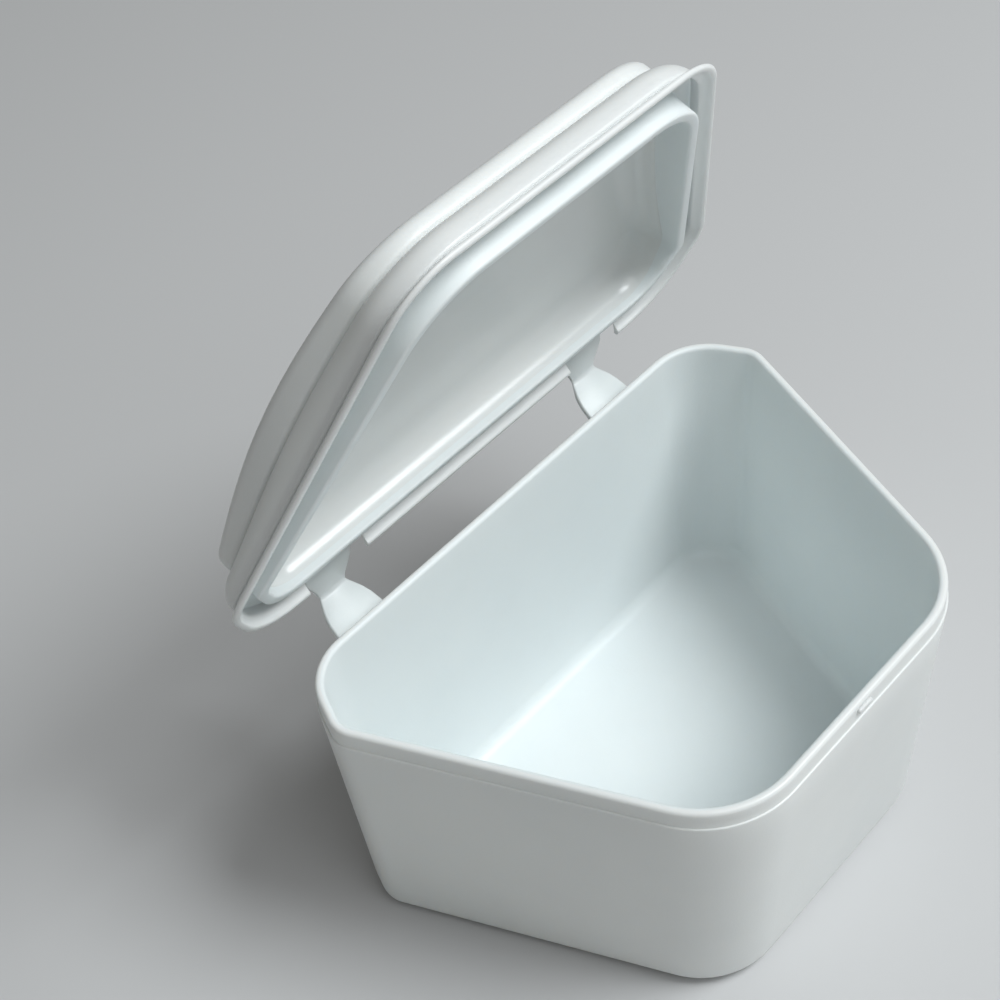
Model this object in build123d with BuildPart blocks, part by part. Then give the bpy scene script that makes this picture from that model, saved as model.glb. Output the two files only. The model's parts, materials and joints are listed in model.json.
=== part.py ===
from build123d import *
from math import cos, radians, sin
import os

# Denture case: a deep tub and a stepped lid moulded in one with two living
# hinges.  Millimetres, +Z up.  The origin is the middle of the tub's flat
# bottom, +X runs along the hinges and -Y is the front, where the lid snaps.
# The lid stands open at rest; its pieces are drawn in the lid's own plane,
# which lies level with the skirt's tip when the lid is shut.

# Plan of the tub's neck, given by the points where its straight sides meet
neck_depth = 60.8
neck_back_width = 81.5
neck_side_flare = 4.9
neck_front_width = 50.5
widest_from_back = 10.7
back_corner_radius = 10.0
kink_corner_radius = 4.5
front_corner_radius = 15.0
tightest_corner = 0.8

# Tub
tub_height = 45.2
neck_height = 2.9
neck_wall = 1.3
lip_round = 0.55
shoulder_step = 0.25
shoulder_round = 0.2
bottom_inset = 2.5
bottom_round = 3.0
tub_wall = 1.35
floor_thickness = 1.6
floor_round = 2.5

# Catch bead on the neck and the rib under it on the skirt's inside
bead_length = 3.0
bead_height = 0.9
bead_reach = 0.45
bead_drop = 1.25
rib_length = 6.0
rib_height = 0.45
rib_drop = 0.15
snap_gap = 0.1

# Lid skirt, measured up from its tip when the lid is shut
tip_gap = 0.3
skirt_gap = 1.55
skirt_tip_wall = 1.1
skirt_tip_round = 0.4
skirt_bead_height = 0.75
skirt_height = 1.9
lid_front_radius = 7.5

# Lid step, the tier over the skirt, and the channel the neck goes into
channel_gap = 0.3
step_wall = 1.15
step_foot_round = 0.4
step_round = 2.7
step_roof = 2.0
step_front_radius = 12.4
arch_reach = 3.0
step_front_height = 5.0
step_middle_height = 7.45
step_back_height = 5.15

# Plug ring inside the neck; it reaches lower at the front
plug_gap = 0.45
plug_wall = 1.6
plug_front_reach = 2.3
plug_back_reach = 0.7
plug_round = 0.5
bore_kink_radius = 3.4

# Crown, the domed top of the lid
crown_inset = 1.9
crown_side_bow = 3.0
crown_side_bow_radius = 110.0
crown_round = 1.6
crown_foot_height = 0.5
crown_foot_inset = 0.45
crown_panel = 1.3
crown_front_height = 8.3
crown_middle_height = 10.55
crown_back_height = 6.0
ceiling_round = 2.5

# Living hinges: two straps, each one a leaf on the tub and a leaf on the lid
hinge_spread = 54.4
hinge_behind_neck = 8.3
hinge_over_tip = 0.37
waist_width = 5.0
leaf_width = 8.9
leaf_thickness = 1.0
film_thickness = 0.45
film_taper = 1.6
fold_gap = 0.05
fold_setback = 0.35
base_leaf_flare = 5.8
base_leaf_bulge = 0.45
base_leaf_drop_angle = 29.4
lid_leaf_flare = 5.0
lid_leaf_bulge = 0.1
lid_leaf_rise_angle = 18.0
leaf_root_depth = 0.8
notch_gap = 1.15

# Rest pose: how far the lid is turned back from shut
rest_opening = 69.1

shoulder_level = tub_height - neck_height
tip_level = shoulder_level + tip_gap
neck_widest = neck_back_width + 2 * neck_side_flare
back_y = neck_depth / 2
front_y = -neck_depth / 2
kink_y = back_y - widest_from_back
hinge_y = back_y + hinge_behind_neck
hinge_z = tip_level + hinge_over_tip

# Offsets of the lid's walls from the neck's outline, outwards positive
tip_grow = skirt_gap + skirt_tip_wall
step_grow = channel_gap + step_wall
plug_grow = -(neck_wall + plug_gap)
bore_grow = plug_grow - plug_wall
bore_kink = bore_kink_radius - bore_grow

# The lid's plane, swung back about the hinge axis to the rest pose
swing = radians(rest_opening)
lid_origin_y = hinge_y - hinge_y * cos(swing) - hinge_over_tip * sin(swing)
lid_origin_z = hinge_z + hinge_y * sin(swing) - hinge_over_tip * cos(swing)
lid_plane = Plane(
    origin=(0, lid_origin_y, lid_origin_z),
    x_dir=(1, 0, 0),
    z_dir=(0, sin(swing), cos(swing)),
)
lid_side_plane = Plane(
    origin=lid_plane.origin, x_dir=lid_plane.y_dir, z_dir=lid_plane.x_dir
)
lid_up = Axis(lid_plane.origin, lid_plane.z_dir)

step_arch = (step_front_height, step_middle_height, step_back_height)
roof_arch = [height - step_roof for height in step_arch]
crown_arch = (crown_front_height, crown_middle_height, crown_back_height)
ceiling_arch = [height - crown_panel for height in crown_arch]
foot_arch = [height + crown_foot_height for height in step_arch]


def grown(corners, grow):
    """The corners of an outline moved out by grow, square to its sides."""
    result = []
    before_each = corners[-1:] + corners[:-1]
    after_each = corners[1:] + corners[:1]
    for before, here, after in zip(before_each, corners, after_each):
        side_in = (here - before).normalized()
        side_out = (after - here).normalized()
        out_in = Vector(side_in.Y, -side_in.X)
        out_out = Vector(side_out.Y, -side_out.X)
        miter = (out_in + out_out) / (1 + out_in.dot(out_out))
        result.append(here + miter * grow)
    return result


def plan_outline(
    grow, front=front_corner_radius, kink=kink_corner_radius, side_bow=0.0
):
    """The case's plan, moved out by grow from the neck's outline.

    The radii are those at the neck's own outline.  A side bow adds a point
    in the middle of each slanting side, that far outside it.
    """
    wide = Vector(neck_widest / 2, kink_y)
    narrow = Vector(neck_front_width / 2, front_y)
    back = Vector(neck_back_width / 2, back_y)
    right = [(narrow, front)]
    if side_bow:
        slope = (wide - narrow).normalized()
        middle = (wide + narrow) / 2 + Vector(slope.Y, -slope.X) * side_bow
        right.append((middle, crown_side_bow_radius))
    right += [(wide, kink), (back, back_corner_radius)]
    left = [(Vector(-point.X, point.Y), radius) for point, radius in reversed(right)]
    corners = grown([point for point, _ in right + left], grow)
    radii = [max(radius + grow, tightest_corner) for _, radius in right + left]
    with BuildSketch() as outline:
        with BuildLine():
            FilletPolyline(*corners, radius=radii, close=True)
        make_face()
    return outline.sketch


def lid_level(height):
    """Plane parallel to the skirt's tip, this far above it."""
    return lid_plane.offset(height)


def under_arch(low, arch):
    """Slab across the lid from the level low up to an arch over its depth."""
    front_height, middle_height, back_height = arch
    front_end = front_y - arch_reach
    back_end = back_y + arch_reach
    with BuildPart() as slab:
        with BuildSketch(lid_side_plane):
            with BuildLine():
                ThreePointArc(
                    (front_end, front_height), (0, middle_height), (back_end, back_height)
                )
                Polyline(
                    (back_end, back_height),
                    (back_end, low),
                    (front_end, low),
                    (front_end, front_height),
                )
            make_face()
        extrude(amount=neck_widest, both=True)
    return slab.part


def lid_block(grow, low, arch, **outline):
    """Solid of an outline from the level low up to an arch."""
    with BuildPart() as block:
        with BuildSketch(lid_level(low)):
            add(plan_outline(grow, **outline))
        extrude(amount=2 * crown_middle_height)
        add(under_arch(low, arch), mode=Mode.INTERSECT)
    return block.part


def hinge_leaf(plane, length, flare, bulge):
    """Leaf of a living hinge, from the fold to its root.

    The plane's origin is the middle of the fold, its Y runs along the leaf
    and its Z is the side the leaf's thickness is on.
    """
    waist = waist_width / 2
    root = leaf_width / 2
    chord_middle = Vector((waist + root) / 2 + bulge, (fold_setback + flare) / 2 - bulge)
    inner_face = fold_gap
    outer_face = fold_gap + leaf_thickness
    profile_plane = Plane(origin=plane.origin, x_dir=plane.y_dir, z_dir=plane.x_dir)
    with BuildPart() as leaf:
        with BuildSketch(plane):
            with BuildLine():
                ThreePointArc((waist, fold_setback), chord_middle, (root, flare))
                Polyline((root, flare), (root, length), (0, length))
                mirror(about=Plane.YZ)
                Line((waist, fold_setback), (-waist, fold_setback))
            make_face()
        extrude(amount=2 * leaf_thickness)
        with BuildSketch(profile_plane):
            with BuildLine():
                Polyline(
                    (fold_setback, inner_face),
                    (fold_setback, inner_face + film_thickness),
                    (fold_setback + film_taper, outer_face),
                    (length, outer_face),
                    (length, inner_face),
                    close=True,
                )
            make_face()
        extrude(amount=leaf_width, both=True, mode=Mode.INTERSECT)
    return leaf.part


# Tub: the whole outside below the shoulder, and the hollow inside
with BuildPart() as tub_form:
    with BuildSketch():
        add(plan_outline(-bottom_inset, kink=kink_corner_radius + bottom_inset))
    with BuildSketch(Plane.XY.offset(shoulder_level)):
        add(plan_outline(shoulder_step))
    loft(ruled=True)
    fillet(tub_form.edges().group_by(Axis.Z)[0], bottom_round)

floor_inset = bottom_inset + tub_wall
with BuildPart() as tub_hollow:
    with BuildSketch(Plane.XY.offset(floor_thickness)):
        add(plan_outline(-floor_inset, kink=kink_corner_radius + floor_inset))
    with BuildSketch(Plane.XY.offset(tub_height)):
        add(plan_outline(-neck_wall))
    loft(ruled=True)
    fillet(tub_hollow.edges().group_by(Axis.Z)[0], floor_round)

with BuildPart() as tub_shell:
    add(tub_form.part)
    fillet(tub_shell.edges().group_by(Axis.Z)[-1], shoulder_round)
    add(tub_hollow.part, mode=Mode.SUBTRACT)

with BuildPart() as tub_neck:
    with BuildSketch(Plane.XY.offset(shoulder_level)):
        add(plan_outline(0))
    extrude(amount=neck_height)
    add(tub_hollow.part, mode=Mode.SUBTRACT)
    fillet(tub_neck.edges().group_by(Axis.Z)[-1], lip_round)

# Catch bead: a short half-round bar on the front of the neck
bead_level = tub_height - bead_drop
front_plane = Plane(origin=(0, front_y, bead_level), x_dir=(1, 0, 0), z_dir=(0, -1, 0))
with BuildPart() as catch_bead:
    with BuildSketch(front_plane):
        SlotOverall(bead_length, bead_height)
    extrude(amount=bead_reach)
    fillet(catch_bead.faces().sort_by(Axis.Y)[0].edges(), bead_reach * 0.7)

# Crown: a dome with bowed sides, hollow up to a rounded ceiling, that stands
# on a narrower foot so that a groove parts it from the step
with BuildPart() as ceiling_hollow:
    add(lid_block(bore_grow, skirt_height, ceiling_arch, kink=bore_kink))
    fillet(ceiling_hollow.faces().sort_by(lid_up)[-1].edges(), ceiling_round)

with BuildPart() as crown_foot:
    foot_grow = -crown_inset - crown_foot_inset
    add(lid_block(foot_grow, skirt_height, foot_arch, side_bow=crown_side_bow))
    add(under_arch(0, step_arch), mode=Mode.SUBTRACT)

with BuildPart() as lid_crown:
    add(lid_block(-crown_inset, skirt_height, crown_arch, side_bow=crown_side_bow))
    fillet(lid_crown.faces().sort_by(lid_up)[-1].edges(), crown_round)
    add(under_arch(0, foot_arch), mode=Mode.SUBTRACT)
    add(crown_foot.part)
    add(ceiling_hollow.part, mode=Mode.SUBTRACT)

# Step: the tier the crown stands on, over the channel for the neck
with BuildPart() as step_form:
    add(lid_block(step_grow, skirt_height, step_arch, front=step_front_radius))
    fillet(step_form.faces().sort_by(lid_up)[-1].edges(), step_round)
    fillet(step_form.faces().sort_by(lid_up)[0].edges(), step_foot_round)

with BuildPart() as lid_step:
    add(step_form.part)
    add(lid_block(channel_gap, 0, roof_arch, front=step_front_radius), mode=Mode.SUBTRACT)
    with BuildSketch(lid_level(0)):
        add(plan_outline(bore_grow, kink=bore_kink))
    extrude(amount=2 * step_middle_height, mode=Mode.SUBTRACT)

with BuildPart() as lid_plug_ring:
    add(lid_block(plug_grow, -plug_front_reach, roof_arch))
    with BuildSketch(lid_level(-plug_front_reach)):
        add(plan_outline(bore_grow, kink=bore_kink))
    extrude(amount=2 * step_middle_height, mode=Mode.SUBTRACT)
    with BuildSketch(lid_side_plane):
        with BuildLine():
            Polyline(
                (front_y, -plug_front_reach),
                (back_y, -plug_back_reach),
                (back_y, -2 * plug_front_reach),
                (front_y, -2 * plug_front_reach),
                close=True,
            )
        make_face()
    extrude(amount=neck_widest, both=True, mode=Mode.SUBTRACT)
    fillet(lid_plug_ring.faces().sort_by(lid_up)[0].edges(), plug_round)

# Skirt: a flared bead round the shoulder, with a notch at each hinge
with BuildPart() as lid_skirt:
    for level in (0, skirt_bead_height):
        with BuildSketch(lid_level(level)):
            add(plan_outline(tip_grow, front=lid_front_radius))
    with BuildSketch(lid_level(skirt_height)):
        add(plan_outline(step_grow - step_foot_round, front=step_front_radius))
    loft(ruled=True)
    fillet(lid_skirt.faces().sort_by(lid_up)[0].edges(), skirt_tip_round)
    with BuildSketch(lid_level(0)):
        add(plan_outline(skirt_gap, front=lid_front_radius))
    with BuildSketch(lid_level(skirt_height)):
        add(plan_outline(channel_gap, front=step_front_radius))
    loft(ruled=True, mode=Mode.SUBTRACT)
    with BuildSketch(lid_level(0)):
        with Locations((-hinge_spread / 2, back_y), (hinge_spread / 2, back_y)):
            Rectangle(leaf_width + 2 * notch_gap, 2 * (tip_grow + tip_gap))
    extrude(amount=skirt_height, mode=Mode.SUBTRACT)

# Catch rib: inside the front of the skirt, just under the bead when shut
rib_top = bead_level - bead_height / 2 - rib_drop - tip_level
rib_tip_y = front_y - bead_reach - snap_gap
rib_root_y = front_y - skirt_gap - skirt_tip_wall / 2
with BuildPart() as catch_rib:
    with BuildSketch(lid_side_plane):
        with BuildLine():
            Polyline(
                (rib_root_y, rib_top),
                (rib_tip_y, rib_top),
                (rib_tip_y, rib_top - rib_height / 2),
                (rib_root_y, rib_top - rib_height),
                close=True,
            )
        make_face()
    extrude(amount=rib_length / 2, both=True)
    add(lid_skirt.part, mode=Mode.SUBTRACT)

# Hinge leaves: thin plates from the fold, trimmed to the walls they grow from
drop = radians(base_leaf_drop_angle)
base_leaf_length = hinge_behind_neck / cos(drop) + leaf_root_depth
rise = radians(lid_leaf_rise_angle)
lid_leaf_length = (hinge_behind_neck - step_grow) / cos(rise) + leaf_root_depth
hinge_leaves = {}
for side, hinge_x in (("left", -hinge_spread / 2), ("right", hinge_spread / 2)):
    base_leaf_plane = Plane(
        origin=(hinge_x, hinge_y, hinge_z),
        x_dir=(1, 0, 0),
        z_dir=(0, sin(drop), -cos(drop)),
    )
    with BuildPart() as base_leaf:
        add(hinge_leaf(base_leaf_plane, base_leaf_length, base_leaf_flare, base_leaf_bulge))
        add(tub_form.part, mode=Mode.SUBTRACT)
    hinge_leaves["hinge_base_leaf_" + side] = base_leaf.part
    lid_leaf_plane = Plane(
        origin=(hinge_x, hinge_y, hinge_z),
        x_dir=(-1, 0, 0),
        z_dir=(0, sin(swing + rise), cos(swing + rise)),
    )
    with BuildPart() as lid_leaf:
        add(hinge_leaf(lid_leaf_plane, lid_leaf_length, lid_leaf_flare, lid_leaf_bulge))
        add(step_form.part, mode=Mode.SUBTRACT)
    hinge_leaves["hinge_lid_leaf_" + side] = lid_leaf.part

pieces = {
    "tub_shell": tub_shell.part,
    "tub_neck": tub_neck.part,
    "tub_catch_bead": catch_bead.part,
    "lid_crown": lid_crown.part,
    "lid_step": lid_step.part,
    "lid_plug_ring": lid_plug_ring.part,
    "lid_skirt": lid_skirt.part,
    "lid_catch_rib": catch_rib.part,
    **hinge_leaves,
}
os.makedirs("parts", exist_ok=True)
for name, piece in pieces.items():
    piece.label = name
    export_step(piece, f"parts/{name}.step")
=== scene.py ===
import json
from math import atan2, cos, pi, radians, sin, tan

import bmesh
import bpy
from mathutils import Matrix, Vector


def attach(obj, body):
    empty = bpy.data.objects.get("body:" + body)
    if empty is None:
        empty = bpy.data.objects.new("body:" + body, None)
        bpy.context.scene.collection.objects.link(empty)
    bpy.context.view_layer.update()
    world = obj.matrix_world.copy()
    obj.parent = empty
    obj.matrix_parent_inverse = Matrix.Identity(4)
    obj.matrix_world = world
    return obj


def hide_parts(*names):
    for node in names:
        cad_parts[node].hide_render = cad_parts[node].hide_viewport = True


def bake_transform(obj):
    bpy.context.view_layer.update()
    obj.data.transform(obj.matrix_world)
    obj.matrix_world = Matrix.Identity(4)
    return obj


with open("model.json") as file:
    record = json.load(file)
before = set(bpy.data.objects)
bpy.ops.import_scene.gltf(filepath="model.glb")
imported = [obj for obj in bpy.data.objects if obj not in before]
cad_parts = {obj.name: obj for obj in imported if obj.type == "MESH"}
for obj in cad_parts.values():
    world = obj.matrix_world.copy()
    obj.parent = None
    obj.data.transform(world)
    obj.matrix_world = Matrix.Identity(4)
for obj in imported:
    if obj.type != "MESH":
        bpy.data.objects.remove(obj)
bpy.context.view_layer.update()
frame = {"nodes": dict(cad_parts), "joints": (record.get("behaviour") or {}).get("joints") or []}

bl_info = {
    "name": "Denture Case",
    "version": (1, 0, 0),
    "blender": (4, 5, 0),
    "location": "3D View > Sidebar > Denture Case",
    "description": "Dresses a hinged denture case: tub, stepped lid, skirt and straps",
    "category": "Object",
}

MM = 0.001
HINGE = frame["joints"][0]
FOLD = Vector(HINGE["pos_m"])
REST_OPENING = radians(-HINGE["range_deg"][0])
UP = Vector((0, 0, 1))

STACK = 0.02  # Spacing of a section's rings while they are bridged
SAME_POINT = 1e-7  # Points closer than this are merged
CUT_SNAP = 1e-8  # Points this close to a cutting plane lie on it
SHARP_ANGLE = radians(50)  # Edges that turn more than this are shaded sharp
LEAST_BOW = 0.02 * MM  # Keeps a turn in the middle of a straight side
ARC_OVERHANG = 3 * MM  # The lid's arcs run on this far past the neck
UNDER_ROUND = 0.4 * MM  # Round under the step, where the skirt starts

# Steps round each corner of the plan, and cuts of the side before each corner: front,
# two halves of a long side, short side, back, short side, two halves of a long side
FRONT_STEPS, BOW_STEPS, SIDE_STEPS, BACK_STEPS = 14, 6, 7, 10
SIDE_CUTS = (6, 3, 3, 1, 6, 1, 3, 3)

# What all the plastic shares: its index, and how far light goes into it
PLASTIC = {
    "IOR": 1.49,
    "Subsurface Weight": 0.5,
    "Subsurface Radius": (1.0, 0.95, 0.9),
    "Subsurface Scale": 0.0015,
}
SCRATCH_ROUGHNESS = 0.25
SCRATCH_HEIGHT = -0.12


# Property groups -----------------------------------------------------------

def length(name, description, millimetres):
    """A length a user would change, kept in metres and given in millimetres."""
    return bpy.props.FloatProperty(
        name=name, description=description, default=millimetres * MM,
        precision=5, subtype="DISTANCE", unit="LENGTH",
    )


def share(name, description, default):
    """A plain factor a user would change."""
    return bpy.props.FloatProperty(
        name=name, description=description, default=default, subtype="FACTOR",
    )


def colour(name, description, default):
    """A linear colour a user would change."""
    return bpy.props.FloatVectorProperty(
        name=name, description=description, default=default, size=3,
        min=0, max=1, subtype="COLOR",
    )


class PlanSizes(bpy.types.PropertyGroup):
    """Plan of the neck, by the points where its straight sides meet"""

    depth: length("Depth", "Front to back over the neck", 60.8)
    back_width: length("Back width", "Between the back corners' points", 81.5)
    widest: length("Widest", "Between the side corners' points", 91.3)
    front_width: length("Front width", "Between the front corners' points", 50.5)
    widest_from_back: length("Widest from back", "Side corners to the back", 10.7)
    back_radius: length("Back radius", "Round of the back corners", 10)
    side_radius: length("Side radius", "Round of the side corners", 4.5)
    front_radius: length("Front radius", "Round of the front corners", 15)
    tightest: length("Tightest", "No corner is rounded less than this", 0.8)
    side_reach: length("Side reach", "Half length of the bow of a long side", 12.2)


class TubSizes(bpy.types.PropertyGroup):
    """Tub, its neck and its floor"""

    height: length("Height", "Bottom to rim", 45.2)
    neck_height: length("Neck height", "Shoulder to rim", 2.9)
    neck_wall: length("Neck wall", "Thickness of the neck", 1.3)
    lip_round: length("Lip round", "Round of the rim", 0.55)
    shoulder_step: length("Shoulder step", "How far the shoulder stands out", 0.25)
    shoulder_round: length("Shoulder round", "Round of the shoulder", 0.2)
    bottom_inset: length("Bottom inset", "Draft of the walls", 2.5)
    bottom_round: length("Bottom round", "Round under the walls", 3)
    wall: length("Wall", "Thickness of the walls", 1.35)
    floor: length("Floor", "Thickness of the floor", 1.6)
    floor_round: length("Floor round", "Round between floor and walls", 2.5)


class LidSizes(bpy.types.PropertyGroup):
    """Lid, measured up from the skirt's tip when shut"""

    channel_gap: length("Channel gap", "Neck to the channel's outer wall", 0.3)
    step_wall: length("Step wall", "Wall outside the channel", 1.15)
    roof: length("Roof", "Skirt's tip to the channel's roof", 2.95)
    channel_wide: length("Channel wide", "Neck to the channel's wall above", 0.85)
    step_front_radius: length("Step front radius", "Front corners of the step", 12.4)
    plug_gap: length("Plug gap", "Neck to the plug ring", 0.45)
    plug_wall: length("Plug wall", "Thickness of the plug ring", 1.6)
    plug_front_reach: length("Front reach", "Plug ring below the tip, front", 1.4)
    plug_back_reach: length("Back reach", "Plug ring below the tip, back", -0.6)
    crown_inset: length("Crown inset", "Crown's wall inside the neck", 1.9)
    crown_bow: length("Crown bow", "Bow of the crown's long sides", 3)
    crown_round: length("Crown round", "Round of the crown's edge", 1.6)
    crown_panel: length("Crown panel", "Thickness of the top", 1.3)
    ceiling_round: length("Ceiling round", "Round inside the crown", 4.4)
    skirt_gap: length("Skirt gap", "Neck to the skirt's tip", 1.55)
    skirt_wall: length("Skirt wall", "Thickness of the skirt's tip", 1.1)
    skirt_bead: length("Skirt bead", "Upright part of the skirt", 0.6)
    skirt_height: length("Skirt height", "Skirt's tip to the step", 1.5)
    skirt_front_radius: length("Skirt front radius", "Front corners", 7.5)
    tip_gap: length("Tip gap", "Shoulder to the skirt's tip", 0.3)
    step_front: length("Step front", "Height of the step at the front", 5.5)
    step_middle: length("Step middle", "Height of the step in the middle", 5.65)
    step_back: length("Step back", "Height of the step at the back", 4.2)
    crown_front: length("Crown front", "Height of the crown at the front", 8.3)
    crown_middle: length("Crown middle", "Height in the middle", 10.55)
    crown_back: length("Crown back", "Height of the crown at the back", 6.0)
    groove: length("Groove", "Round of the groove under the crown", 0.6)
    bore_side_radius: length("Bore side radius", "Side corners inside", 3.4)


class StrapSizes(bpy.types.PropertyGroup):
    """Living hinge straps"""

    spread: length("Spread", "Between the two straps", 54.4)
    gap: length("Gap", "Fold to the straps' inner faces", 0.05)
    thickness: length("Thickness", "Of the leaves", 1)
    film: length("Film", "Thickness at the fold", 0.45)
    fold_radius: length("Fold radius", "Length over which a strap bends", 0.55)
    notch: length("Notch", "Width of the skirt's notches", 11.2)
    drop: bpy.props.FloatProperty(
        name="Drop", description="Fall of the tub's leaf", default=radians(29.4),
        subtype="ANGLE")
    rise: bpy.props.FloatProperty(
        name="Rise", description="Rise of the lid's leaf when shut", default=radians(18),
        subtype="ANGLE")


class PlasticColours(bpy.types.PropertyGroup):
    """Colours and finish of the moulded plastic"""

    white: colour("White", "Body of the plastic", (0.835, 0.855, 0.845))
    shade: colour("Shade", "Cloudier parts of the plastic", (0.80, 0.825, 0.82))
    scuff: colour("Scuff", "Rubbed and handled places", (0.70, 0.71, 0.69))
    gloss: share("Panel gloss", "Roughness inside the lid", 0.2)
    satin: share("Satin", "Roughness of the outside", 0.36)


class StudioSettings(bpy.types.PropertyGroup):
    """Floor, light and camera"""

    floor: colour("Floor", "Colour of the floor", (0.60, 0.605, 0.61))
    key_power: bpy.props.FloatProperty(
        name="Key power", description="Watts of the key light", default=5.4, min=0)
    fill_power: bpy.props.FloatProperty(
        name="Fill power", description="Watts of the fill light", default=1.7, min=0)
    surround: bpy.props.FloatProperty(
        name="Surround", description="Strength of the even light", default=0.17, min=0)
    lens: bpy.props.FloatProperty(
        name="Lens", description="Focal length in millimetres", default=67.72, min=1)


class CaseSettings(bpy.types.PropertyGroup):
    """All the settings of the case"""

    plan: bpy.props.PointerProperty(type=PlanSizes)
    tub: bpy.props.PointerProperty(type=TubSizes)
    lid: bpy.props.PointerProperty(type=LidSizes)
    strap: bpy.props.PointerProperty(type=StrapSizes)
    plastic: bpy.props.PointerProperty(type=PlasticColours)
    studio: bpy.props.PointerProperty(type=StudioSettings)


# Materials -----------------------------------------------------------------

def node(tree, kind, place, **values):
    """A node of a tree, with its properties or its sockets' values set."""
    new = tree.nodes.new(kind)
    new.location = place
    for key, value in values.items():
        if hasattr(new, key):
            setattr(new, key, value)
        else:
            new.inputs[key.replace("_", " ")].default_value = value
    return new


def group(name, inputs, outputs):
    """A shader node group with named sockets, and its two end nodes."""
    tree = bpy.data.node_groups.new(name, "ShaderNodeTree")
    for socket, kind, default in inputs:
        made = tree.interface.new_socket(
            name=socket, in_out="INPUT", socket_type="NodeSocket" + kind)
        if default is not None:
            made.default_value = default
    for socket, kind in outputs:
        tree.interface.new_socket(
            name=socket, in_out="OUTPUT", socket_type="NodeSocket" + kind)
    return tree, node(tree, "NodeGroupInput", (-900, 0)), node(tree, "NodeGroupOutput", (900, 0))


def cloudy_group():
    """Soft clouds of colour, as thick and thin places of a moulding show."""
    tree, start, end = group(
        "moulded_cloud",
        [("Vector", "Vector", None), ("Scale", "Float", 30.0),
         ("White", "Color", (1, 1, 1, 1)), ("Shade", "Color", (1, 1, 1, 1)),
         ("Scuff", "Color", (1, 1, 1, 1)), ("Wear", "Float", 0.3)],
        [("Color", "Color"), ("Mask", "Float")],
    )
    link = tree.links.new
    cloud = node(tree, "ShaderNodeTexNoise", (-650, 200), Detail=3.0, Roughness=0.55)
    link(start.outputs["Vector"], cloud.inputs["Vector"])
    link(start.outputs["Scale"], cloud.inputs["Scale"])
    spread = node(tree, "ShaderNodeMapRange", (-430, 200), interpolation_type="SMOOTHSTEP",
                  From_Min=0.32, From_Max=0.68)
    link(cloud.outputs["Fac"], spread.inputs["Value"])
    body = node(tree, "ShaderNodeMix", (-200, 200), data_type="RGBA")
    link(spread.outputs["Result"], body.inputs[0])
    link(start.outputs["White"], body.inputs[6])
    link(start.outputs["Shade"], body.inputs[7])
    fine = node(tree, "ShaderNodeTexNoise", (-650, -150),
                Scale=420.0, Detail=6.0, Roughness=0.7)
    link(start.outputs["Vector"], fine.inputs["Vector"])
    broad = node(tree, "ShaderNodeTexNoise", (-650, -400), Scale=55.0, Detail=2.0)
    link(start.outputs["Vector"], broad.inputs["Vector"])
    both = node(tree, "ShaderNodeMath", (-430, -250), operation="MULTIPLY")
    link(fine.outputs["Fac"], both.inputs[0])
    link(broad.outputs["Fac"], both.inputs[1])
    rub = node(tree, "ShaderNodeMapRange", (-200, -250), From_Min=0.30, From_Max=0.46)
    link(both.outputs["Value"], rub.inputs["Value"])
    worn = node(tree, "ShaderNodeMath", (0, -250), operation="MULTIPLY", use_clamp=True)
    link(rub.outputs["Result"], worn.inputs[0])
    link(start.outputs["Wear"], worn.inputs[1])
    mixed = node(tree, "ShaderNodeMix", (250, 100), data_type="RGBA")
    link(worn.outputs["Value"], mixed.inputs[0])
    link(body.outputs[2], mixed.inputs[6])
    link(start.outputs["Scuff"], mixed.inputs[7])
    link(mixed.outputs[2], end.inputs["Color"])
    link(worn.outputs["Value"], end.inputs["Mask"])
    return tree


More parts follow.
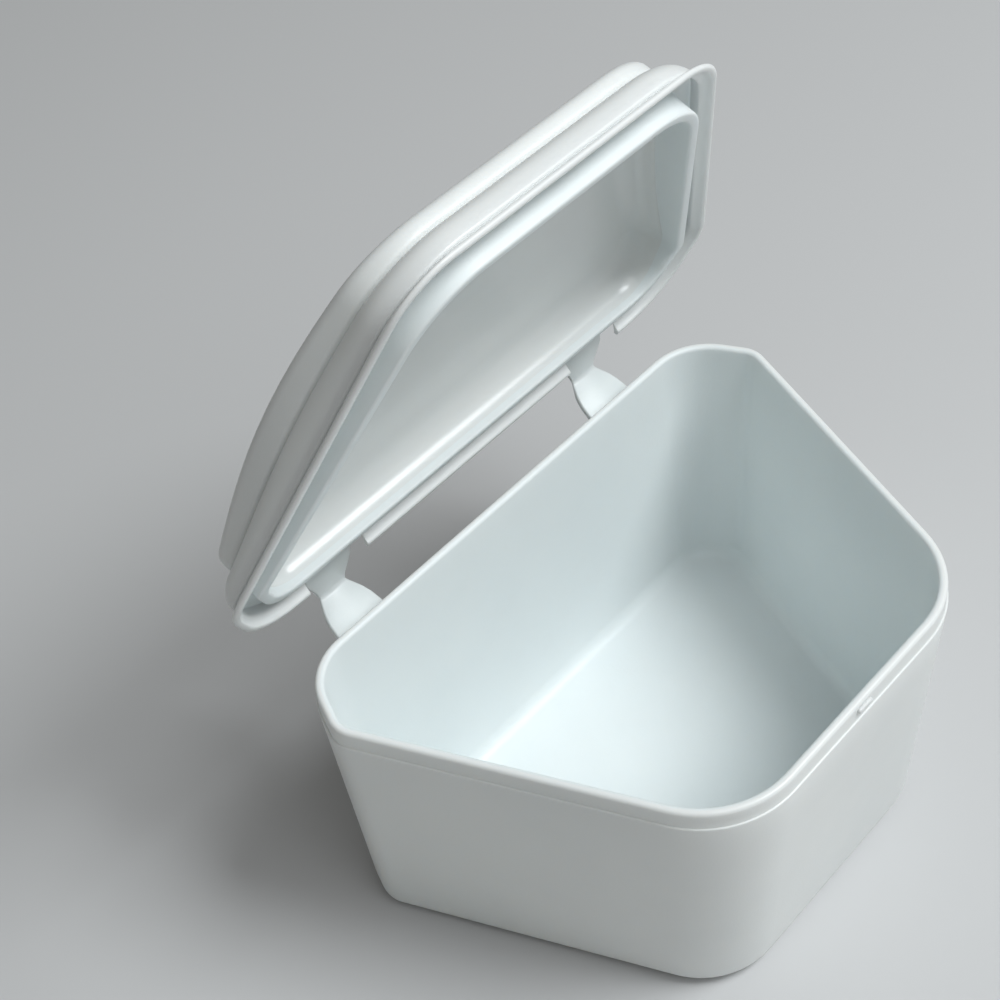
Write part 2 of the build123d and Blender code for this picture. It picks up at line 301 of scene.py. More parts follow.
def grain_group():
    """Fine satin grain, hairline scratches and slow waves of a moulded face."""
    tree, start, end = group(
        "moulded_grain",
        [("Vector", "Vector", None), ("Satin", "Float", 0.36), ("Spread", "Float", 0.10),
         ("Grain", "Float", 0.3), ("Waves", "Float", 0.3), ("Scratches", "Float", 0.3)],
        [("Roughness", "Float"), ("Height", "Float")],
    )
    link = tree.links.new
    grain = node(tree, "ShaderNodeTexNoise", (-650, 300),
                 Scale=2600.0, Detail=2.0, Roughness=0.6)
    waves = node(tree, "ShaderNodeTexNoise", (-650, 50),
                 Scale=75.0, Detail=1.0, Roughness=0.4)
    cells = node(tree, "ShaderNodeTexNoise", (-650, -200),
                 Scale=140.0, Detail=4.0, Roughness=0.6)
    drawn = node(tree, "ShaderNodeMapping", (-880, -450),
                 Rotation=(0.4, 0.9, 0.6), Scale=(1.0, 22.0, 9.0))
    hair = node(tree, "ShaderNodeTexNoise", (-650, -450),
                Scale=70.0, Detail=3.0, Roughness=0.5)
    for texture in (grain, waves, cells):
        link(start.outputs["Vector"], texture.inputs["Vector"])
    link(start.outputs["Vector"], drawn.inputs["Vector"])
    link(drawn.outputs["Vector"], hair.inputs["Vector"])
    lines = node(tree, "ShaderNodeMapRange", (-430, -450), From_Min=0.66, From_Max=0.74)
    link(hair.outputs["Fac"], lines.inputs["Value"])
    scratch = node(tree, "ShaderNodeMath", (-200, -450), operation="MULTIPLY")
    link(lines.outputs["Result"], scratch.inputs[0])
    link(start.outputs["Scratches"], scratch.inputs[1])
    uneven = node(tree, "ShaderNodeMapRange", (-430, -200),
                  From_Min=0.3, From_Max=0.7, To_Min=-1.0)
    link(cells.outputs["Fac"], uneven.inputs["Value"])
    vary = node(tree, "ShaderNodeMath", (-200, -150), operation="MULTIPLY_ADD")
    link(uneven.outputs["Result"], vary.inputs[0])
    link(start.outputs["Spread"], vary.inputs[1])
    link(start.outputs["Satin"], vary.inputs[2])
    rough = node(tree, "ShaderNodeMath", (50, -150), operation="MULTIPLY_ADD", use_clamp=True)
    rough.inputs[1].default_value = SCRATCH_ROUGHNESS
    link(scratch.outputs["Value"], rough.inputs[0])
    link(vary.outputs["Value"], rough.inputs[2])
    low = node(tree, "ShaderNodeMath", (-200, 100), operation="MULTIPLY")
    link(waves.outputs["Fac"], low.inputs[0])
    link(start.outputs["Waves"], low.inputs[1])
    high = node(tree, "ShaderNodeMath", (0, 250), operation="MULTIPLY_ADD")
    link(grain.outputs["Fac"], high.inputs[0])
    link(start.outputs["Grain"], high.inputs[1])
    link(low.outputs["Value"], high.inputs[2])
    height = node(tree, "ShaderNodeMath", (250, 150), operation="MULTIPLY_ADD")
    height.inputs[1].default_value = SCRATCH_HEIGHT
    link(scratch.outputs["Value"], height.inputs[0])
    link(high.outputs["Value"], height.inputs[2])
    link(rough.outputs["Value"], end.inputs["Roughness"])
    link(height.outputs["Value"], end.inputs["Height"])
    return tree


def shared_group(name, maker):
    """A node group built once and used by every material after that."""
    return bpy.data.node_groups.get(name) or maker()


def moulded_plastic(name, satin, wear, waves, scale=26.0, grain=0.25, scratches=0.4,
                    painted_light_tint=(1, 1, 1), relief=0.00006):
    """White injection-moulded plastic; a colour factor warms, cools or darkens its colours,
    painting light and shade into them.
    """
    done = bpy.data.materials.get(name)
    if done:
        return done
    colours = bpy.context.scene.denture_case.plastic
    material = bpy.data.materials.new(name)
    material.use_nodes = True
    tree = material.node_tree
    link = tree.links.new
    shader = tree.nodes["Principled BSDF"]
    place = node(tree, "ShaderNodeTexCoord", (-1100, 0))
    cloud = node(tree, "ShaderNodeGroup", (-700, 200),
                 node_tree=shared_group("moulded_cloud", cloudy_group),
                 Scale=scale, Wear=wear)
    grains = node(tree, "ShaderNodeGroup", (-700, -200),
                  node_tree=shared_group("moulded_grain", grain_group),
                  Satin=satin, Spread=satin * 0.15, Grain=grain, Waves=waves,
                  Scratches=scratches)
    for effect in (cloud, grains):
        link(place.outputs["Object"], effect.inputs["Vector"])
    # The colour factor paints light and shade into the colours: cooler on the lit inside, darker
    # on the shaded straps
    for socket in ("white", "shade", "scuff"):
        tinted = [own * by for own, by in zip(getattr(colours, socket), painted_light_tint)]
        cloud.inputs[socket.capitalize()].default_value = (*tinted, 1)
    bump = node(tree, "ShaderNodeBump", (-300, -250), Strength=1.0, Distance=relief)
    link(grains.outputs["Height"], bump.inputs["Height"])
    link(cloud.outputs["Color"], shader.inputs["Base Color"])
    link(grains.outputs["Roughness"], shader.inputs["Roughness"])
    link(bump.outputs["Normal"], shader.inputs["Normal"])
    for socket, value in PLASTIC.items():
        shader.inputs[socket].default_value = value
    return material


def outside_finish():
    """Satin plastic of the outer faces."""
    plastic = bpy.context.scene.denture_case.plastic
    return moulded_plastic("satin_plastic", plastic.satin, wear=0.04, waves=0.5, scratches=0.04)


def inside_finish():
    """Slightly rougher plastic of the tub's inside and the lid's channel, made cooler as painted
    cool light.
    """
    plastic = bpy.context.scene.denture_case.plastic
    # The inside's colours are cooled: painted light, standing in for the cool light that falls
    # inside
    return moulded_plastic(
        "inside_plastic", plastic.satin + 0.06, wear=0.06, waves=0.4, painted_light_tint=(0.97, 1.0, 1.015))


def panel_finish():
    """Glossy plastic of the lid's underside, with slow waves."""
    plastic = bpy.context.scene.denture_case.plastic
    return moulded_plastic(
        "panel_plastic", plastic.gloss, wear=0.04, waves=1.0, grain=0.04, scratches=0.06,
        relief=0.00008)


def strap_finish():
    """Plastic of the thin hinge straps, darkened as painted shade."""
    plastic = bpy.context.scene.denture_case.plastic
    # The straps' colours are darkened: painted shade, for the shade the straps sit in
    return moulded_plastic(
        "strap_plastic", plastic.satin, wear=0.1, waves=0.7, painted_light_tint=(0.87, 0.9, 0.91))


# Shaping -------------------------------------------------------------------

def plan_corners(front, side, bow):
    """Corners of the plan, right half then left, running anticlockwise."""
    plan = bpy.context.scene.denture_case.plan
    half = plan.depth / 2
    narrow = Vector((plan.front_width / 2, -half, 0))
    wide = Vector((plan.widest / 2, half - plan.widest_from_back, 0))
    back = Vector((plan.back_width / 2, half, 0))
    along = (wide - narrow).normalized()
    out = Vector((along.y, -along.x, 0))
    middle = (wide + narrow) / 2 + out * bow
    bend = 2 * atan2(bow, (wide - narrow).length / 2)
    right = [
        (narrow, front, FRONT_STEPS),
        (middle, plan.side_reach / tan(bend / 2), BOW_STEPS),
        (wide, side, SIDE_STEPS),
        (back, plan.back_radius, BACK_STEPS),
    ]
    left = [(Vector((-p.x, p.y, 0)), radius, steps) for p, radius, steps in reversed(right)]
    return right + left


def moved_out(points, grow):
    """The corners of an outline moved out by grow, square to its sides."""
    moved = []
    for before, here, after in zip(points[-1:] + points[:-1], points, points[1:] + points[:1]):
        one = (here - before).normalized()
        two = (after - here).normalized()
        miter = Vector((one.y + two.y, -one.x - two.x, 0)) / (1 + one.dot(two))
        moved.append(here + miter * grow)
    return moved


def plan_ring(bm, grow, height, front=None, side=None, bow=None):
    """One closed ring of edges round the plan, moved out by grow.

    The radii are those at the neck's own outline.  Every ring has the same
    count of points, so any two can be bridged.
    """
    plan = bpy.context.scene.denture_case.plan
    corners = plan_corners(
        plan.front_radius if front is None else front,
        plan.side_radius if side is None else side,
        bow or LEAST_BOW,
    )
    points = moved_out([point for point, _, _ in corners], grow)
    known = set(bm.verts)
    ends = []
    for index, (_, radius, steps) in enumerate(corners):
        before = (points[index] - points[index - 1]).normalized()
        after = (points[(index + 1) % len(points)] - points[index]).normalized()
        turn = atan2(before.cross(after).z, before.dot(after))
        bent = max(radius + grow, plan.tightest)
        first = points[index] - before * bent * tan(turn / 2)
        centre = first + Vector((-before.y, before.x, 0)) * bent
        start = bm.verts.new(first)
        spun = bmesh.ops.spin(
            bm, geom=[start], cent=centre, axis=UP, dvec=(0, 0, 0), angle=turn, steps=steps)
        last = [part for part in spun["geom_last"] if isinstance(part, bmesh.types.BMVert)][0]
        ends.append((start, last))
    for index, (start, _) in enumerate(ends):
        last = ends[index - 1][1]
        cuts = SIDE_CUTS[index]
        drawn = bmesh.ops.spin(
            bm, geom=[last], cent=last.co, axis=UP, angle=0,
            dvec=(start.co - last.co) / (cuts + 1), steps=cuts)
        last = [part for part in drawn["geom_last"] if isinstance(part, bmesh.types.BMVert)][0]
        bm.edges.new((last, start))
    made = [vert for vert in bm.verts if vert not in known]
    for vert in made:
        vert.co.z = height
    return list({edge for vert in made for edge in vert.link_edges})


def bridged(bm, rings, slots=None):
    """Bridges each ring of edges to the next, each band with its material slot."""
    for index, (one, two) in enumerate(zip(rings, rings[1:])):
        band = bmesh.ops.bridge_loops(bm, edges=one + two)["faces"]
        for face in band:
            face.material_index = slots[index] if slots else 0


def capped(bm, ring, level, slot=0, strips=48):
    """Closes a ring with strips across it that follow the level."""
    face = bmesh.ops.contextual_create(bm, geom=ring)["faces"][0]
    face.material_index = slot
    depths = [vert.co.y for vert in face.verts]
    low, high = min(depths), max(depths)
    parts = [face, *face.edges, *face.verts]
    for cut in range(1, strips):
        across = low + (high - low) * cut / strips
        parts = bmesh.ops.bisect_plane(
            bm, geom=parts, dist=CUT_SNAP, plane_co=(0, across, 0),
            plane_no=(0, 1, 0))["geom"]
    for part in parts:
        if isinstance(part, bmesh.types.BMVert):
            part.co.z = level(part.co.y)


def arc_level(front, middle, back):
    """Height over the depth of the lid, an arc through three heights."""
    plan = bpy.context.scene.denture_case.plan
    half = plan.depth / 2 + ARC_OVERHANG
    sag = middle - (front + back) / 2
    tilt = (back - front) / (2 * half)
    radius = (half * half + sag * sag) / (2 * sag)
    return lambda depth: (
        middle - radius + (radius * radius - depth * depth) ** 0.5 + tilt * depth)


def raised(level, by):
    """The same level, raised by a height."""
    return lambda depth: level(depth) + by


def flat(height):
    """A level that is the same all over."""
    return lambda depth: height


def lower(one, two):
    """The lower of two levels."""
    return lambda depth: min(one(depth), two(depth))


def between(one, two, part):
    """A level part of the way from one level to another."""
    return lambda depth: one(depth) + (two(depth) - one(depth)) * part


def sign(value):
    """1 or -1 by the sign of a value, or 0 where it is next to nothing."""
    return 0 if abs(value) < 1e-4 else value / abs(value)


def stop(grow, level, slot=0, **plan):
    """One stop of a wall's section: its place in the plan and its level."""
    return (grow, level, slot, plan)


def rounding(grow, level, radius, start, end, steps, slot=0, **plan):
    """Stops round an arc about a point of a section, angles from outwards."""
    stops = []
    for step in range(steps + 1):
        angle = radians(start + (end - start) * step / steps)
        stops.append(stop(
            grow + radius * cos(angle), raised(level, radius * sin(angle)), slot, **plan))
    return stops


def section_shell(name, stops, closed=False, caps=()):
    """A mesh of rings bridged along a section, capped at both ends or closed.

    The rings are bridged in a tall stack, where each one's neighbours are
    plain, and take their own levels after that.
    """
    bm = bmesh.new()
    rings = [
        plan_ring(bm, grow, index * STACK, **plan)
        for index, (grow, _, _, plan) in enumerate(stops)
    ]
    slots = [slot for _, _, slot, _ in stops]
    bridged(bm, rings + rings[:1] if closed else rings, slots)
    for ring, (_, level, _, _) in zip(rings, stops):
        for vert in {vert for edge in ring for vert in edge.verts}:
            vert.co.z = level(vert.co.y)
    for ring, level, slot in zip((rings[0], rings[-1]), caps, (slots[0], slots[-1])):
        capped(bm, ring, level, slot)
    bmesh.ops.remove_doubles(bm, verts=bm.verts, dist=SAME_POINT)
    bmesh.ops.recalc_face_normals(bm, faces=bm.faces)
    return bm


def finished(name, bm, materials, body):
    """Makes a mesh an object, which rides on a body if one is given."""
    for face in bm.faces:
        face.smooth = True
    mesh = bpy.data.meshes.new(name)
    bm.to_mesh(mesh)
    bm.free()
    for material in materials:
        mesh.materials.append(material)
    mesh.set_sharp_from_angle(angle=SHARP_ANGLE)
    piece = bpy.data.objects.new(name, mesh)
    bpy.context.scene.collection.objects.link(piece)
    if body:
        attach(piece, body)
    return piece


def lid_place():
    """From the shut lid's own height above the skirt's tip to the rest pose."""
    settings = bpy.context.scene.denture_case
    tip = settings.tub.height - settings.tub.neck_height + settings.lid.tip_gap
    return (
        Matrix.Translation(FOLD)
        @ Matrix.Rotation(-REST_OPENING, 4, "X")
        @ Matrix.Translation((0, -FOLD.y, tip - FOLD.z))
    )


# Operators -----------------------------------------------------------------

class DENTURECASE_OT_tub(bpy.types.Operator):
    """Make the tub with its neck and rounded floor"""

    bl_idname = "denture_case.tub"
    bl_label = "Tub"

    bottom_land = 1 * MM  # Flat ring inside the round under the walls
    floor_land = 1.2 * MM  # The same inside the round of the floor
    neck_foot = 0.06 * MM  # Round between the neck and the shoulder
    neck_stop = 1.2 * MM  # Ring on the neck, over the shoulder
    round_gain = 0.5  # The inner side corners open out faster by this share
    foot_steps = 9

    def execute(self, context):
        settings = context.scene.denture_case
        plan, tub = settings.plan, settings.tub
        shoulder = tub.height - tub.neck_height
        outer_draft = (tub.bottom_inset + tub.shoulder_step) / shoulder
        floor_inset = tub.bottom_inset + tub.wall
        inner_draft = (floor_inset - tub.neck_wall) / (tub.height - tub.floor)

        def wall(grow, height, slot=0):
            inset = tub.bottom_inset * (1 - height / tub.height)
            side = plan.side_radius + inset * (1 + self.round_gain * slot)
            return stop(grow, flat(height), slot, side=side)

        def draft_round(foot, radius, lean, start, end, steps, slot):
            centre = foot - radius * tan((pi / 2 - lean) / 2)
            low = tub.floor if slot else 0
            found = []
            for step in range(steps + 1):
                angle = start + (end - start) * step / steps
                found.append(wall(
                    centre + radius * cos(angle), low + radius + radius * sin(angle), slot))
            return found

        outer_lean, inner_lean = atan2(outer_draft, 1), atan2(inner_draft, 1)
        stops = [wall(-tub.bottom_inset - tub.bottom_round - self.bottom_land, 0)]
        stops += draft_round(
            -tub.bottom_inset, tub.bottom_round, outer_lean, -pi / 2, -outer_lean,
            self.foot_steps, 0)
        for part in (0.3, 0.6, 0.85):
            height = shoulder * part
            stops.append(wall(-tub.bottom_inset + outer_draft * height, height))
        stops += rounding(
            tub.shoulder_step - tub.shoulder_round, flat(shoulder - tub.shoulder_round),
            tub.shoulder_round, 0, 90, 4)
        foot = self.neck_foot
        stops += rounding(foot, flat(shoulder + foot), foot, 270, 180, 2)
        lip = tub.lip_round
        top = flat(tub.height - lip)
        stops.append(stop(0, flat(shoulder + self.neck_stop)))
        stops += rounding(-lip, top, lip, 0, 90, 6)
        stops += rounding(lip - tub.neck_wall, top, lip, 90, 180, 6, 1)
        for part in (0.9, 0.75, 0.5, 0.25):
            height = tub.floor + (tub.height - tub.floor) * part
            stops.append(wall(-floor_inset + inner_draft * (height - tub.floor), height, 1))
        stops += draft_round(
            -floor_inset, tub.floor_round, inner_lean, -inner_lean, -pi / 2,
            self.foot_steps, 1)
        stops.append(wall(-floor_inset - tub.floor_round - self.floor_land, tub.floor, 1))
        bm = section_shell("tub_body", stops, caps=(flat(0), flat(tub.floor)))
        piece = finished(
            "tub_body", bm, [outside_finish(), inside_finish()], "tub")
        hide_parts("tub_shell", "tub_neck")
        return {"FINISHED"}


class DENTURECASE_OT_lid(bpy.types.Operator):
    """Make the lid: crown, step, channel and plug ring in one moulding"""

    bl_idname = "denture_case.lid"
    bl_label = "Lid"

    top_land = 0.8 * MM  # Ring on the top, inside the crown's round
    foot_drop = 0.1 * MM  # The groove starts at least this far below that round
    groove_stops = (  # Inwards and up along the groove, in parts of its round
        (0, 2.0), (0.12, 1.5), (0.42, 1.05), (0.85, 0.75), (1.0, 0.4), (0.8, 0.08),
        (0.3, -0.05))
    groove_end = 0.4  # Where the step starts, outwards in parts of the groove's round
    step_steps = 13
    rim_height = 0.45 * MM  # Foot of the step's round, over the skirt
    channel_round = 0.3 * MM
    plug_nose = 0.35 * MM
    bore_stop = 0.9 * MM  # Ring on the bore, over the skirt's tip
    ceiling_land = 1.5 * MM  # Ring on the ceiling, inside its round

    def execute(self, context):
        settings = context.scene.denture_case
        plan, lid, tub = settings.plan, settings.lid, settings.tub
        crown = arc_level(lid.crown_front, lid.crown_middle, lid.crown_back)
        step = arc_level(lid.step_front, lid.step_middle, lid.step_back)
        roof = flat(lid.roof)
        ceiling = raised(crown, -lid.crown_panel)
        half = plan.depth / 2
        slope = (lid.plug_front_reach - lid.plug_back_reach) / plan.depth

        def tip(depth):
            return -lid.plug_front_reach + slope * (depth + half)

        bowed = {"bow": lid.crown_bow}
        blunt = {"front": lid.step_front_radius}
        wall, edge, foot = -lid.crown_inset, lid.crown_round, lid.groove
        crown_foot = raised(crown, -edge - self.foot_drop)
        stops = [stop(wall - edge - self.top_land, crown, **bowed)]
        stops += rounding(wall - edge, raised(crown, -edge), edge, 90, 0, 8, **bowed)
        for inwards, up in self.groove_stops:
            stops.append(stop(
                wall - inwards * foot, lower(raised(step, up * foot), crown_foot), **bowed))
        outer = lid.channel_gap + lid.step_wall
        start = wall + self.groove_end * foot
        rim = flat(lid.skirt_height + self.rim_height)
        for part in range(1, self.step_steps + 1):
            angle = radians(90 * part / self.step_steps)
            stops.append(stop(
                start + (outer - start) * sin(angle),
                between(step, rim, 1 - cos(angle)),
                bow=lid.crown_bow * (1 - sin(angle)),
                front=plan.front_radius + sin(angle) * (
                    lid.step_front_radius - plan.front_radius)))
        low = lid.skirt_height
        stops += rounding(
            outer - UNDER_ROUND, flat(low + UNDER_ROUND), UNDER_ROUND, 0, -90, 4, **blunt)
        small = self.channel_round
        stops.append(stop(lid.channel_wide, flat(low), 1, **blunt))
        stops += rounding(
            lid.channel_wide - small, raised(roof, -small), small, 0, 90, 3, 1, **blunt)
        plug = -(tub.neck_wall + lid.plug_gap)
        stops += rounding(plug + small, raised(roof, -small), small, 90, 180, 3, 1)
        nose = self.plug_nose
        stops += rounding(plug - nose, raised(tip, nose), nose, 0, -90, 5, 1)
        bore = plug - lid.plug_wall
        inner = {"side": lid.bore_side_radius - bore}
        stops += rounding(bore + nose, raised(tip, nose), nose, -90, -180, 5, 1, **inner)
        stops.append(stop(bore, flat(self.bore_stop), 1, **inner))
        inside = lid.ceiling_round
        stops += rounding(
            bore - inside, raised(ceiling, -inside), inside, 0, 90, 12, 2, **inner)
        stops.append(stop(bore - inside - self.ceiling_land, ceiling, 2, **inner))
        bm = section_shell("lid_body", stops, caps=(crown, ceiling))
        bmesh.ops.transform(bm, matrix=lid_place(), verts=bm.verts)
        piece = finished(
            "lid_body", bm, [outside_finish(), inside_finish(), panel_finish()],
            "lid")
        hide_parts("lid_crown", "lid_step", "lid_plug_ring")
        return {"FINISHED"}


class DENTURECASE_OT_skirt(bpy.types.Operator):
    """Make the lid's flared skirt, open at the straps"""

    bl_idname = "denture_case.skirt"
    bl_label = "Skirt"

    wall_gap = 0.02 * MM  # How far the skirt stands proud of the channel's wall
    roof_gap = 0.15 * MM  # Channel's roof to the top of the hidden collar
    collar = 0.25 * MM  # Thickness of the collar inside the step
    sink = 0.1 * MM  # How far the skirt's top goes into the step
    seam = 0.05 * MM  # Slope of the skirt at its seam with the step
    flare_fall = 0.93  # Share of the fall that the flare takes
    bead_in, bead_over, bead_under = 0.08 * MM, 0.12 * MM, 0.1 * MM  # Turn into the bead
    tip_round = 0.42 * MM
    notch_round = 0.4 * MM

    def execute(self, context):
        settings = context.scene.denture_case
        plan, lid, strap = settings.plan, settings.lid, settings.strap
        inner, outer = lid.skirt_gap, lid.skirt_gap + lid.skirt_wall
        top_in, tuck = lid.channel_wide - self.wall_gap, lid.roof - self.roof_gap
        top_out = lid.channel_gap + lid.step_wall - UNDER_ROUND
        height, bead, tip = lid.skirt_height, lid.skirt_bead, self.tip_round
        sink, collar = self.sink, self.collar

        def behind(face):
            return face.calc_center_median().y > plan.depth / 2

        def blunt(level):
            up = min(1, max(0, level - bead) / (height - bead))
            return lid.skirt_front_radius + up * (
                lid.step_front_radius - lid.skirt_front_radius)

        profile = [(top_in, tuck), (top_in + collar, tuck)]
        profile += [(top_in + collar, height + sink), (top_out, height + sink)]
        profile += [(top_out + self.seam, height - sink)]
        for part in (0.25, 0.5, 0.75):
            rise = height - sink - (height - bead) * part * self.flare_fall
            profile.append((top_out + (outer - top_out) * part, rise))
        profile += [(outer - self.bead_in, bead + self.bead_over)]
        profile += [(outer, bead - self.bead_under)]
        for turn in range(0, 91, 18):
            angle = radians(turn)
            profile.append((outer - tip + tip * cos(angle), tip - tip * sin(angle)))
        for turn in range(90, 181, 18):
            angle = radians(turn)
            profile.append((inner + tip + tip * cos(angle), tip - tip * sin(angle)))
        profile += [((inner + top_in) / 2, (tip + height) / 2), (top_in, height)]
        stops = [stop(grow, flat(level), front=blunt(level)) for grow, level in profile]
        bm = section_shell("lid_skirt_band", stops, closed=True)
        for side in (-1, 1):
            for edge in (-1, 1):
                back = [face for face in bm.faces if behind(face)]
                parts = list({part for face in back for part in (face, *face.edges, *face.verts)})
                place = side * strap.spread / 2 + edge * strap.notch / 2
                bmesh.ops.bisect_plane(
                    bm, geom=parts, dist=CUT_SNAP, plane_co=(place, 0, 0), plane_no=(1, 0, 0))
        cut = [
            face for face in bm.faces
            if behind(face)
            and abs(abs(face.calc_center_median().x) - strap.spread / 2) < strap.notch / 2
        ]
        bmesh.ops.delete(bm, geom=cut, context="FACES")
        rims = [edge for edge in bm.edges if edge.is_boundary]
        ends = bmesh.ops.holes_fill(bm, edges=rims, sides=0)["faces"]
        bmesh.ops.recalc_face_normals(bm, faces=bm.faces)
        bmesh.ops.bevel(
            bm, geom=[edge for face in ends for edge in face.edges], offset=self.notch_round,
            offset_type="OFFSET", affect="EDGES", segments=4, profile=0.5, material=-1,
            clamp_overlap=True)
        bmesh.ops.transform(bm, matrix=lid_place(), verts=bm.verts)
        piece = finished("lid_skirt_band", bm, [outside_finish()], "lid")
        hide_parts("lid_skirt")
        return {"FINISHED"}


class DENTURECASE_OT_straps(bpy.types.Operator):
    """Make the two straps that fold between the tub and the lid"""

    bl_idname = "denture_case.straps"
    bl_label = "Hinge straps"

    # Half widths along a strap from its fold, the tub's leaf and the lid's
    tub_leaf = ((0, 2.48), (1, 3.05), (2.3, 3.7), (3.8, 4.15), (5.8, 4.45), (10, 4.45))
    lid_leaf = ((0, 2.48), (1, 2.8), (2.7, 3.7), (3.9, 4.3), (5.3, 4.42), (10, 4.45))
    # How far a strap's ends go into the tub's wall and into the lid's
    tub_seat, lid_seat = 0.5 * MM, 0.6 * MM
    # Sections along the tub's leaf, along half the fold and along the lid's leaf
    tub_rings, fold_rings, lid_rings = 16, 4, 14
    # Millimetres from the fold where a leaf starts to thicken, and over which it does
    film_reach, thickening = 0.3, 1.6
    # Round of the long edges, and its largest share of the thickness
    edge_round, edge_share = 0.32 * MM, 0.48

    def execute(self, context):
        settings = context.scene.denture_case
        strap, plan, lid = settings.strap, settings.plan, settings.lid
        drop, rise = strap.drop, strap.rise + REST_OPENING
        tub_way = Vector((0, cos(drop), sin(drop)))
        lid_way = Vector((0, -cos(rise), sin(rise)))
        turn = tub_way.angle(lid_way)
        behind = FOLD.y - plan.depth / 2
        tub_length = behind / cos(drop) + self.tub_seat
        lid_length = (
            (behind - lid.channel_gap - lid.step_wall) / cos(strap.rise) + self.lid_seat)
        stations = [
            -tub_length + tub_length * step / self.tub_rings for step in range(self.tub_rings)]
        stations += [
            strap.fold_radius * step / self.fold_rings
            for step in range(1 - self.fold_rings, self.fold_rings)]
        stations += [
            lid_length * step / self.lid_rings for step in range(1, self.lid_rings + 1)]
        for side, label in ((-1, "left"), (1, "right")):
            bm = bmesh.new()
            rings = []
            for along in sorted(stations):
                rings.append(self.ring(bm, strap, along, tub_way, turn))
            bridged(bm, rings)
            for ring in (rings[0], rings[-1]):
                bmesh.ops.contextual_create(bm, geom=ring)
            bmesh.ops.recalc_face_normals(bm, faces=bm.faces)
            bmesh.ops.translate(
                bm, vec=(side * strap.spread / 2, FOLD.y, FOLD.z), verts=bm.verts)
            piece = finished(
                "hinge_strap_" + label, bm, [strap_finish()], None)
            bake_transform(piece)
            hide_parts("hinge_base_leaf_" + label, "hinge_lid_leaf_" + label)
        return {"FINISHED"}

    def ring(self, bm, strap, along, tub_way, turn):
        """One rounded cross section of a strap, at its place along the fold."""
        reach = abs(along) / MM
        widths = self.tub_leaf if along < 0 else self.lid_leaf
        half = widths[-1][1]
        for (low, narrow), (high, broad) in zip(widths, widths[1:]):
            if low <= reach <= high:
                half = narrow + (broad - narrow) * (reach - low) / (high - low)
                break
        half *= MM
        grown = min(1, max(0, (reach - self.film_reach) / self.thickening))
        thick = strap.film + (strap.thickness - strap.film) * grown
        edge = min(self.edge_round, self.edge_share * thick)
        made = bmesh.ops.create_circle(bm, segments=32, radius=1, cap_ends=False)["verts"]
        bend = strap.fold_radius
        if along <= -bend:
            centre, way = tub_way * along, tub_way
        else:
            angle = turn * min(1, (along + bend) / (2 * bend))
            centre = self.bent(along, bend, tub_way, turn)
            way = Matrix.Rotation(angle, 3, "X") @ tub_way
        inward = Vector((0, -way.z, way.y))
        for vert in made:
            across, over = vert.co.x, vert.co.y
            wide = edge * across + (half - edge) * sign(across)
            deep = edge * over + (thick / 2 - edge) * sign(over)
            vert.co = (
                Vector((1, 0, 0)) * wide + centre
                + inward * (deep - thick / 2 - strap.gap))
        return list({side for vert in made for side in vert.link_edges})

    def bent(self, along, bend, tub_way, turn):
        """Place of the strap's inner face near and beyond the fold."""
        if along >= bend:
            return (Matrix.Rotation(turn, 3, "X") @ tub_way) * along
        radius = bend / tan(turn / 2)
        start = tub_way * -bend
        centre = start + Vector((0, -tub_way.z, tub_way.y)) * radius
        angle = turn * (along + bend) / (2 * bend)
        return centre + Matrix.Rotation(angle, 3, "X") @ (start - centre)


class DENTURECASE_OT_details(bpy.types.Operator):
    """Finish the catch bead and the catch rib"""

    bl_idname = "denture_case.details"
    bl_label = "Catch"

    def execute(self, context):
        for name in ("tub_catch_bead", "lid_catch_rib"):
            mesh = frame["nodes"][name].data
            mesh.materials.clear()
            mesh.materials.append(outside_finish())
        return {"FINISHED"}


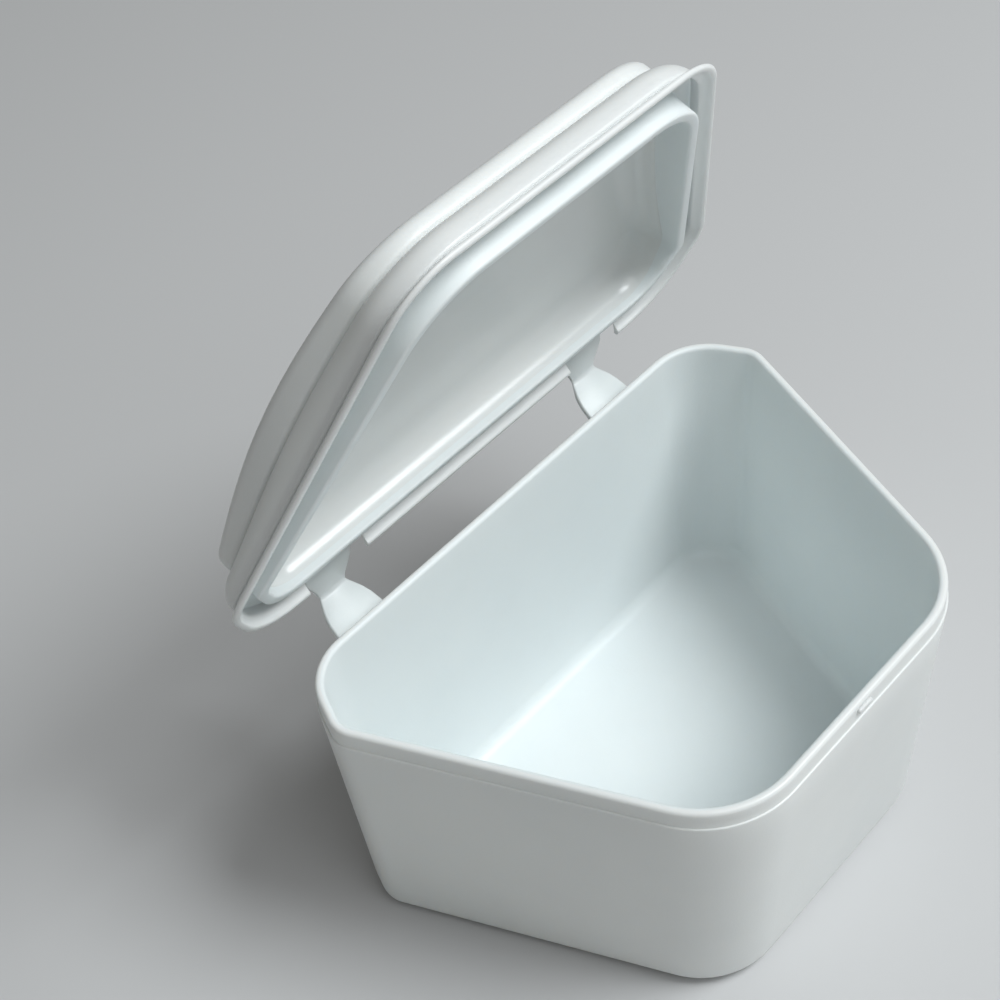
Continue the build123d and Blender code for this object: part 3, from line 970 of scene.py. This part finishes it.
class DENTURECASE_OT_stage(bpy.types.Operator):
    """Set the floor, the soft lights and the camera"""

    bl_idname = "denture_case.stage"
    bl_label = "Stage"

    # Each lamp's name, place, size and the setting of its power
    lamps = (
        ("key_light", (0.28, -0.37, 0.76), 0.42, "key_power"),
        ("fill_light", (-0.04, -0.44, 0.78), 0.6, "fill_power"),
    )
    lamp_target = Vector((0, 10, 50)) * MM
    lamp_colour = (0.95, 0.985, 1.0)
    surround_colour = (1.0, 0.985, 0.95, 1)
    floor_size = 3
    floor_roughness = 0.7
    # Camera: turned about Z, raised and rolled, in degrees, about its target
    turned, raised_by, rolled = radians(-43.59), radians(46.01), radians(-6.77)
    target = Vector((7.361, 39.453, 31.331)) * MM
    distance = 0.28665
    sensor_width = 36

    def execute(self, context):
        studio = context.scene.denture_case.studio
        self.floor(context, studio)
        for name, place, size, power in self.lamps:
            self.light(context, name, place, size, getattr(studio, power))
        self.surround(context, studio)
        self.camera(context, studio)
        context.scene.view_settings.view_transform = "Standard"
        return {"FINISHED"}

    def floor(self, context, studio):
        bm = bmesh.new()
        bmesh.ops.create_grid(bm, x_segments=1, y_segments=1, size=self.floor_size)
        mesh = bpy.data.meshes.new("studio_floor")
        bm.to_mesh(mesh)
        bm.free()
        floor = bpy.data.objects.new("studio_floor", mesh)
        context.scene.collection.objects.link(floor)
        material = bpy.data.materials.new("studio_floor")
        material.use_nodes = True
        shader = material.node_tree.nodes["Principled BSDF"]
        shader.inputs["Base Color"].default_value = (*studio.floor, 1)
        shader.inputs["Roughness"].default_value = self.floor_roughness
        mesh.materials.append(material)

    def light(self, context, name, place, size, power):
        lamp = bpy.data.lights.new(name, "AREA")
        lamp.shape = "DISK"
        lamp.size = size
        lamp.energy = power
        lamp.color = self.lamp_colour
        holder = bpy.data.objects.new(name, lamp)
        context.scene.collection.objects.link(holder)
        aim = self.lamp_target - Vector(place)
        holder.matrix_world = (
            Matrix.Translation(place) @ aim.to_track_quat("-Z", "Y").to_matrix().to_4x4())

    def surround(self, context, studio):
        world = bpy.data.worlds.new("studio_surround")
        world.use_nodes = True
        background = world.node_tree.nodes["Background"]
        background.inputs["Color"].default_value = self.surround_colour
        background.inputs["Strength"].default_value = studio.surround
        context.scene.world = world

    def camera(self, context, studio):
        level = cos(self.raised_by)
        back = Vector((
            sin(self.turned) * level, -cos(self.turned) * level, sin(self.raised_by)))
        right = (-back).cross(UP).normalized()
        up = right.cross(-back)
        along, across = cos(self.rolled), sin(self.rolled)
        right, up = right * along + up * across, up * along - right * across
        camera = bpy.data.cameras.new("studio_camera")
        camera.lens = studio.lens
        camera.sensor_width = self.sensor_width
        holder = bpy.data.objects.new("studio_camera", camera)
        context.scene.collection.objects.link(holder)
        place = Matrix((right, up, back)).transposed().to_4x4()
        place.translation = self.target + back * self.distance
        holder.matrix_world = place
        context.scene.camera = holder


class DENTURECASE_PT_panel(bpy.types.Panel):
    """Sizes, finishes and pieces of the case"""

    bl_idname = "DENTURECASE_PT_panel"
    bl_label = "Denture Case"
    bl_space_type = "VIEW_3D"
    bl_region_type = "UI"
    bl_category = "Denture Case"

    def draw(self, context):
        settings = context.scene.denture_case
        for part in ("plan", "tub", "lid", "strap", "plastic", "studio"):
            box = self.layout.box()
            box.label(text=part.capitalize())
            owner = getattr(settings, part)
            for field in owner.bl_rna.properties:
                if not field.is_readonly and field.identifier != "name":
                    box.prop(owner, field.identifier)
        for operator in OPERATORS:
            self.layout.operator(operator.bl_idname)


OPERATORS = (
    DENTURECASE_OT_stage,
    DENTURECASE_OT_tub,
    DENTURECASE_OT_lid,
    DENTURECASE_OT_skirt,
    DENTURECASE_OT_straps,
    DENTURECASE_OT_details,
)
GROUPS = (
    PlanSizes, TubSizes, LidSizes, StrapSizes, PlasticColours, StudioSettings, CaseSettings)


def register():
    for kind in (*GROUPS, *OPERATORS, DENTURECASE_PT_panel):
        bpy.utils.register_class(kind)
    bpy.types.Scene.denture_case = bpy.props.PointerProperty(type=CaseSettings)


def unregister():
    del bpy.types.Scene.denture_case
    for kind in reversed((*GROUPS, *OPERATORS, DENTURECASE_PT_panel)):
        bpy.utils.unregister_class(kind)


def main():
    register()
    for step in ("stage", "tub", "lid", "skirt", "straps", "details"):
        getattr(bpy.ops.denture_case, step)()


if __name__ == "__main__":
    main()
